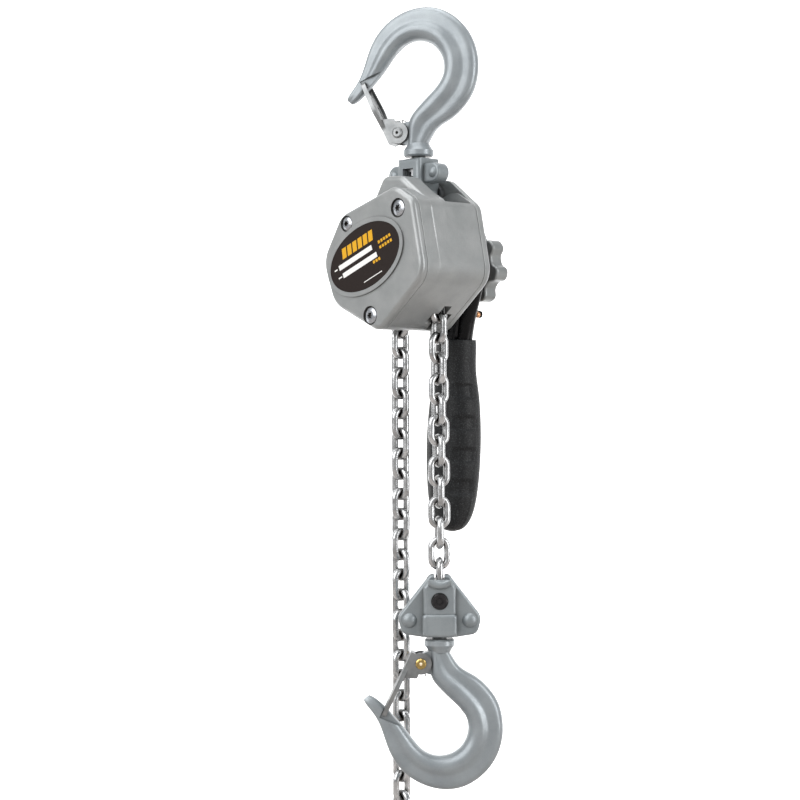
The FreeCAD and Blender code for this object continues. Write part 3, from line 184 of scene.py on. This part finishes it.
# ---- materials -----------------------------------------------------------------------------
def silver_paint(name, low, high, roughness, metallic, grain_scale, grain, coat=0.25):
    """Silver paint over a cast or forged surface: soft mottling, fine grain, painted shade in the corners."""
    material, nodes, links, shader = new_material(name)
    mottle = ramp(nodes, links, noise(nodes, links, 70.0, 5.0), low, high, 0.3, 0.7)
    flake = ramp(nodes, links, noise(nodes, links, 3200.0, 2.0), (0.86, 0.87, 0.88), (1, 1, 1), 0.35, 0.65)
    # painted shade: ambient occlusion darkens the paint in corners and recesses
    shade = ramp(nodes, links, painted_crevice_shade(nodes, links, 0.004), (0.30, 0.28, 0.26), (1, 1, 1), 0.25, 0.9)
    flaked = multiply(nodes, links, mottle, flake, 0.9)
    links.new(multiply(nodes, links, flaked, shade, 0.85), shader.inputs["Base Color"])
    shader.inputs["Metallic"].default_value = metallic
    uneven = remap(nodes, links, noise(nodes, links, 260.0), roughness - 0.04, roughness + 0.06)
    links.new(uneven, shader.inputs["Roughness"])
    shader.inputs["Coat Weight"].default_value = coat
    shader.inputs["Coat Roughness"].default_value = 0.14
    bump(nodes, links, shader, noise(nodes, links, grain_scale, 3.0, 0.5), grain, 0.00025)
    return material


def bright_zinc(name, low, high, roughness, grain):
    """Bright zinc plate: clean metal with slightly uneven sheen and a warm painted shade in corners and recesses.
    """
    material, nodes, links, shader = new_material(name)
    tone = ramp(nodes, links, noise(nodes, links, 160.0, 3.0), low, high, 0.32, 0.62)
    # painted shade: ambient occlusion darkens the zinc to warm brown in corners and recesses
    shade = ramp(nodes, links, painted_crevice_shade(nodes, links, 0.0035), (0.16, 0.13, 0.10), (1, 1, 1), 0.2, 0.9)
    links.new(multiply(nodes, links, tone, shade, 0.9), shader.inputs["Base Color"])
    shader.inputs["Metallic"].default_value = 1.0
    links.new(remap(nodes, links, noise(nodes, links, 240.0), roughness - 0.04, roughness + 0.08),
              shader.inputs["Roughness"])
    bump(nodes, links, shader, noise(nodes, links, 450.0, 2.0), grain, 0.0003)
    return material


def dark_enamel(name):
    """Glossy black enamel on pressed steel."""
    material, nodes, links, shader = new_material(name)
    tone = ramp(nodes, links, noise(nodes, links, 90.0), (0.002, 0.002, 0.0025), (0.005, 0.005, 0.006))
    links.new(tone, shader.inputs["Base Color"])
    links.new(remap(nodes, links, noise(nodes, links, 300.0), 0.20, 0.30), shader.inputs["Roughness"])
    shader.inputs["Specular IOR Level"].default_value = 0.22
    bump(nodes, links, shader, noise(nodes, links, 900.0, 2.0), 0.10, 0.0002)
    return material


def speckled_rubber(name):
    """Black moulded rubber with a fine grained skin."""
    material, nodes, links, shader = new_material(name)
    speck = noise(nodes, links, 1500.0, 2.0, 0.7)
    tone = ramp(nodes, links, speck, (0.006, 0.007, 0.008), (0.060, 0.066, 0.070), 0.52, 0.76)
    links.new(tone, shader.inputs["Base Color"])
    links.new(remap(nodes, links, speck, 0.60, 0.42), shader.inputs["Roughness"])
    shader.inputs["Specular IOR Level"].default_value = 0.35
    bump(nodes, links, shader, noise(nodes, links, 1100.0, 3.0, 0.7), 0.5, 0.0004)
    return material


def plain_metal(name, colour, roughness, metallic=1.0, scale=400.0):
    """Machined or plated metal with a faint brushed grain."""
    material, nodes, links, shader = new_material(name)
    dim = tuple(channel * 0.7 for channel in colour)
    tone = ramp(nodes, links, noise(nodes, links, scale, 4.0), dim, colour, 0.3, 0.7)
    links.new(tone, shader.inputs["Base Color"])
    shader.inputs["Metallic"].default_value = metallic
    links.new(remap(nodes, links, noise(nodes, links, scale * 1.7), roughness * 0.8, roughness * 1.3),
              shader.inputs["Roughness"])
    bump(nodes, links, shader, noise(nodes, links, scale * 3), 0.12, 0.0002)
    return material


def printed(name, colour, roughness=0.28, vary=0.85):
    """Printed film: even ink under a clear, slightly orange-peeled lacquer."""
    material, nodes, links, shader = new_material(name)
    dim = tuple(channel * vary for channel in colour)
    links.new(ramp(nodes, links, noise(nodes, links, 700.0), dim, colour), shader.inputs["Base Color"])
    shader.inputs["Roughness"].default_value = roughness
    shader.inputs["Specular IOR Level"].default_value = 0.3
    bump(nodes, links, shader, noise(nodes, links, 1200.0), 0.05, 0.0001)
    return material


HOOK_PAINT = silver_paint("hook_paint", (0.28, 0.31, 0.33), (0.36, 0.395, 0.415), 0.36, 0.40,
                          260.0, 0.10, 0.22)
YOKE_PAINT = silver_paint("yoke_paint", (0.25, 0.28, 0.295), (0.32, 0.35, 0.365), 0.38, 0.40,
                          420.0, 0.20, 0.22)
CASE_PAINT = silver_paint("case_paint", (0.325, 0.34, 0.34), (0.395, 0.405, 0.405), 0.40, 0.60,
                          900.0, 0.16, 0.1)
KNOB_PAINT = silver_paint("knob_paint", (0.28, 0.295, 0.295), (0.36, 0.37, 0.37), 0.36, 0.60,
                          700.0, 0.20, 0.1)
ZINC = bright_zinc("bright_zinc", (0.24, 0.25, 0.255), (0.34, 0.35, 0.355), 0.42, 0.06)
CHAIN_ZINC = bright_zinc("chain_zinc", (0.40, 0.405, 0.41), (0.66, 0.67, 0.68), 0.22, 0.30)
SCREW_STEEL = bright_zinc("screw_steel", (0.36, 0.38, 0.41), (0.58, 0.60, 0.63), 0.24, 0.15)
ENAMEL = dark_enamel("black_enamel")
RUBBER = speckled_rubber("grip_rubber")
PLAIN_STEEL = plain_metal("plain_steel", (0.38, 0.39, 0.40), 0.38)
GEAR_STEEL = plain_metal("gear_steel", (0.26, 0.26, 0.27), 0.34)
LINING = plain_metal("friction_lining", (0.16, 0.08, 0.045), 0.8, 0.0)
COPPER = plain_metal("copper_plate", (0.78, 0.40, 0.20), 0.16)
BRASS = plain_metal("yellow_zinc", (0.70, 0.50, 0.18), 0.22, 1.0, 900.0)
BLACK_BOLT = plain_metal("black_oxide", (0.045, 0.043, 0.045), 0.35, 0.7)
LABEL_INK = printed("label_ink", (0.018, 0.011, 0.009))
LABEL_YELLOW = printed("label_yellow", (0.80, 0.42, 0.02))
LABEL_WHITE = printed("label_white", (0.92, 0.92, 0.90))

SLOT_MATERIALS = {
    "hook_paint": HOOK_PAINT, "yoke_paint": YOKE_PAINT, "zinc": ZINC, "brass_rivet": BRASS,
    "case_paint": CASE_PAINT, "label": LABEL_INK, "screw_steel": SCREW_STEEL,
    "plate_steel": PLAIN_STEEL, "gear_steel": GEAR_STEEL, "friction": LINING,
    "black_steel": ENAMEL, "grip_rubber": RUBBER, "copper": COPPER, "knob_paint": KNOB_PAINT,
    "chain_zinc": CHAIN_ZINC,
}


def dress_nodes():
    """Give every CAD node the material of its slot."""
    slots = {part["node"]: part["material_slot"] for part in frame["record"]["subparts"]}
    for name, node in NODES.items():
        material = SLOT_MATERIALS[slots[name]]
        if name == "chain_pin":
            material = BLACK_BOLT
        if not node.data.materials:
            node.data.materials.append(material)
        for index in range(len(node.data.materials)):
            node.data.materials[index] = material


# ---- rating plate print --------------------------------------------------------------------
def plate_point(along, up, y):
    """A point on the plate in metres, from its place in the plate's turned axes."""
    x = PLATE_X + along * math.cos(PLATE_TURN) - up * math.sin(PLATE_TURN)
    z = PLATE_UP + along * math.sin(PLATE_TURN) + up * math.cos(PLATE_TURN)
    return Vector((x * MM, y, SHAFT.z + z * MM))


def print_blocks(name, blocks, material):
    """Thin plain blocks printed on the plate; each is along, up, length, height, slant."""
    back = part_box("rating_plate")[0][1] + PRINT_SUNK * MM
    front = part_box("rating_plate")[0][1] - PRINT_PROUD * MM
    vertices, faces = [], []
    for along, up, length, height, slant in blocks:
        first = len(vertices)
        for y in (front, back):
            for across, rise in ((-0.5, -0.5), (0.5, -0.5), (0.5, 0.5), (-0.5, 0.5)):
                lean = slant * rise * height
                vertices.append(plate_point(along + across * length + lean, up + rise * height, y))
        faces.append([first + k for k in (0, 1, 2, 3)])
        faces.append([first + k for k in (7, 6, 5, 4)])
        for k in range(4):
            after = (k + 1) % 4
            faces.append([first + k, first + k + 4, first + after + 4, first + after])
    piece = mesh_object(name, vertices, faces, material)
    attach(piece, "housing")


def add_plate_print():
    """White bars and plain yellow blocks where such a plate is printed; no lettering."""
    print_blocks("plate_print_white", [(*block, 0.0) for block in WHITE_BLOCKS], LABEL_WHITE)
    yellow = [(TITLE_START + TITLE_STEP * k, TITLE_UP, *TITLE_SIZE, TITLE_SLANT)
              for k in range(TITLE_BLOCKS)]
    for start, up, number in SMALL_ROWS:
        yellow += [(start + SMALL_STEP * k, up, *SMALL_SIZE, 0.0) for k in range(number)]
    print_blocks("plate_print_yellow", yellow, LABEL_YELLOW)


# ---- lever grip ----------------------------------------------------------------------------
def smooth_step(value, low, high):
    share = min(max((value - low) / (high - low), 0.0), 1.0)
    return share * share * (3 - 2 * share)


def grip_half_sizes(z):
    """Half width and half depth at a height, on a smooth curve through the stations."""
    last = len(GRIP_STATIONS) - 1
    k = max(i for i in range(last) if GRIP_STATIONS[i][0] >= z or i == 0)
    before, this = GRIP_STATIONS[max(k - 1, 0)], GRIP_STATIONS[k]
    after, beyond = GRIP_STATIONS[k + 1], GRIP_STATIONS[min(k + 2, last)]
    span = after[0] - this[0]
    t = (z - this[0]) / span
    sizes = []
    for axis in (1, 2):
        slope_in = (after[axis] - before[axis]) / (after[0] - before[0]) * span
        slope_out = (beyond[axis] - this[axis]) / (beyond[0] - this[0]) * span
        sizes.append((2 * t**3 - 3 * t**2 + 1) * this[axis] + (t**3 - 2 * t**2 + t) * slope_in
                     + (3 * t**2 - 2 * t**3) * after[axis] + (t**3 - t**2) * slope_out)
    return sizes


def hollow_share(z):
    """1 on the floor of a finger hollow, 0 away from it."""
    nearest = min(abs(z - HOLLOW_FIRST - HOLLOW_STEP * k) for k in range(HOLLOWS))
    return 1 - smooth_step(nearest, HOLLOW_HALF, HOLLOW_HALF + HOLLOW_BLEND)


def grip_point(z, angle):
    """A point of the grip's skin in metres; angle 0 is the +X edge, and -Y is the front."""
    half_x, half_y = grip_half_sizes(z)
    cosine, sine = math.cos(angle), math.sin(angle)
    x = half_x * math.copysign(abs(cosine) ** (2 / GRIP_POWER), cosine)
    y = half_y * math.copysign(abs(sine) ** (2 / GRIP_POWER), sine)
    sunk = hollow_share(z) * smooth_step(x / half_x, 0.45, 0.75) * smooth_step(-y / half_y, -0.15, 0.25)
    turn = min(angle, 2 * math.pi - angle)
    ridge = RIDGE_HEIGHT * max(0.0, 1 - turn / RIDGE_HALF) * (1 - sunk)
    scale = 1 - (HOLLOW_DEPTH * sunk - ridge) / math.hypot(x, y)
    x, y = x * scale, y * scale
    turned_x = x * math.cos(LEVER_TILT) + z * math.sin(LEVER_TILT)
    turned_z = z * math.cos(LEVER_TILT) - x * math.sin(LEVER_TILT)
    return Vector((turned_x * MM, (y + GRIP_Y) * MM, SHAFT.z + turned_z * MM))


def add_grip():
    """Moulded grip with four finger hollows on its +X side and a mould ridge along the edge."""
    top, bottom = GRIP_STATIONS[0][0], GRIP_STATIONS[-1][0]
    vertices, faces = [], []
    for ring in range(GRIP_RINGS + 1):
        z = top + (bottom - top) * ring / GRIP_RINGS
        for side in range(GRIP_SIDES):
            vertices.append(grip_point(z, 2 * math.pi * side / GRIP_SIDES))
    for ring in range(GRIP_RINGS):
        for side in range(GRIP_SIDES):
            a = ring * GRIP_SIDES + side
            b = ring * GRIP_SIDES + (side + 1) % GRIP_SIDES
            faces.append((a, a + GRIP_SIDES, b + GRIP_SIDES, b))
    faces.append(tuple(range(GRIP_SIDES)))
    faces.append(tuple(reversed(range(GRIP_RINGS * GRIP_SIDES, (GRIP_RINGS + 1) * GRIP_SIDES))))
    grip = mesh_object("grip_skin", vertices, faces, RUBBER)
    for polygon in grip.data.polygons:
        polygon.use_smooth = len(polygon.vertices) == 4
    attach(grip, "lever")
    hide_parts("lever_grip")


# ---- studio --------------------------------------------------------------------------------
FLOOR_DROP = 0.12                     # the floor lies this far under the object
SWEEP_FRONT, SWEEP_BACK, SWEEP_RISE = 3.0, 4.0, 4.0
SWEEP_HALF, SWEEP_BEND, SWEEP_STEPS = 5.0, 1.4, 16
WORLD_STRENGTH = 0.5
FLOOR_COLOUR = (0.45, 0.42, 0.40)
GLOW_FROM, GLOW_TO = 0.35, 0.65       # metres behind the object over which the paper starts to glow


VIEW_AZIMUTH = math.radians(45.0)
VIEW_DISTANCE = 1.205
VIEW_LENS = 91.8
VIEW_ROLL = math.radians(0.2)
VIEW_TARGET = Vector((-0.0081, -0.0081, SHAFT.z - 0.0800))


def add_camera():
    """Level camera on the front cover's right-hand side."""
    towards = Vector((math.sin(VIEW_AZIMUTH), -math.cos(VIEW_AZIMUTH), 0.0))
    camera = bpy.data.objects.new("camera", bpy.data.cameras.new("camera"))
    camera.data.lens = VIEW_LENS
    camera.data.sensor_width = 36.0
    camera.data.clip_end = 50.0
    place = VIEW_TARGET + towards * VIEW_DISTANCE
    turn = (VIEW_TARGET - place).to_track_quat("-Z", "Y").to_matrix().to_4x4()
    camera.matrix_world = Matrix.Translation(place) @ turn @ Matrix.Rotation(-VIEW_ROLL, 4, "Z")
    bpy.context.scene.collection.objects.link(camera)
    bpy.context.scene.camera = camera


def add_area(name, place, size, power, target, colour=(1.0, 1.0, 1.0)):
    light = bpy.data.lights.new(name, "AREA")
    light.shape = "RECTANGLE"
    light.size, light.size_y = size
    light.energy = power
    light.color = colour
    lamp = bpy.data.objects.new(name, light)
    turn = (Vector(target) - Vector(place)).to_track_quat("-Z", "Y").to_matrix().to_4x4()
    lamp.matrix_world = Matrix.Translation(Vector(place)) @ turn
    bpy.context.scene.collection.objects.link(lamp)


def add_backdrop(away, side):
    """Pale paper floor that curves up behind the object and glows white there."""
    floor_z = CAD_BOX[0][2] - FLOOR_DROP
    profile = [(-SWEEP_FRONT, 0.0), (SWEEP_BACK - SWEEP_BEND, 0.0)]
    for k in range(1, SWEEP_STEPS + 1):
        angle = math.pi / 2 * k / SWEEP_STEPS
        profile.append((SWEEP_BACK - SWEEP_BEND + SWEEP_BEND * math.sin(angle),
                        SWEEP_BEND - SWEEP_BEND * math.cos(angle)))
    profile.append((SWEEP_BACK, SWEEP_RISE))
    vertices, faces = [], []
    for out, up in profile:
        for across in (-SWEEP_HALF, SWEEP_HALF):
            vertices.append(away * out + side * across + Vector((0, 0, floor_z + up)))
    for k in range(len(profile) - 1):
        faces.append((2 * k, 2 * k + 1, 2 * k + 3, 2 * k + 2))
    mesh = bpy.data.meshes.new("backdrop")
    mesh.from_pydata(vertices, [], faces)
    mesh.shade_smooth()
    sweep = bpy.data.objects.new("backdrop", mesh)
    bpy.context.scene.collection.objects.link(sweep)
    material, nodes, links, shader = new_material("backdrop_paper")
    coords = nodes.new("ShaderNodeTexCoord")
    depth = nodes.new("ShaderNodeVectorMath")
    depth.operation = "DOT_PRODUCT"
    depth.inputs[1].default_value = away
    links.new(coords.outputs["Object"], depth.inputs[0])
    glow = remap(nodes, links, depth.outputs["Value"], 0.0, 1.0, GLOW_FROM, GLOW_TO)
    links.new(glow, shader.inputs["Emission Strength"])
    links.new(ramp(nodes, links, glow, FLOOR_COLOUR, (0.92, 0.92, 0.92)), shader.inputs["Base Color"])
    shader.inputs["Roughness"].default_value = 0.9
    shader.inputs["Emission Color"].default_value = (1, 1, 1, 1)
    sweep.data.materials.append(material)


def add_lights(away, side):
    """White surroundings and three large soft lights."""
    world = bpy.data.worlds.new("studio")
    world.use_nodes = True
    world.node_tree.nodes["Background"].inputs["Color"].default_value = (1.0, 1.0, 1.0, 1.0)
    world.node_tree.nodes["Background"].inputs["Strength"].default_value = WORLD_STRENGTH
    bpy.context.scene.world = world
    centre = VIEW_TARGET
    right, front = side, -away
    add_area("key_light", centre + front * 0.9 - right * 1.1 + Vector((0, 0, 0.9)), (1.7, 1.8), 25.0, centre)
    add_area("fill_light", centre + front * 0.7 + right * 1.3 + Vector((0, 0, 0.2)), (0.5, 1.5), 11.5, centre)
    add_area("top_light", centre + Vector((0, 0, 1.5)), (1.2, 1.2), 12.0, centre)
    bpy.context.scene.view_settings.view_transform = "Standard"


def add_studio():
    away = Vector((-math.sin(VIEW_AZIMUTH), math.cos(VIEW_AZIMUTH), 0))
    side = Vector((math.cos(VIEW_AZIMUTH), math.sin(VIEW_AZIMUTH), 0))
    add_backdrop(away, side)
    add_lights(away, side)


dress_nodes()
add_plate_print()
add_grip()
add_camera()
add_studio()
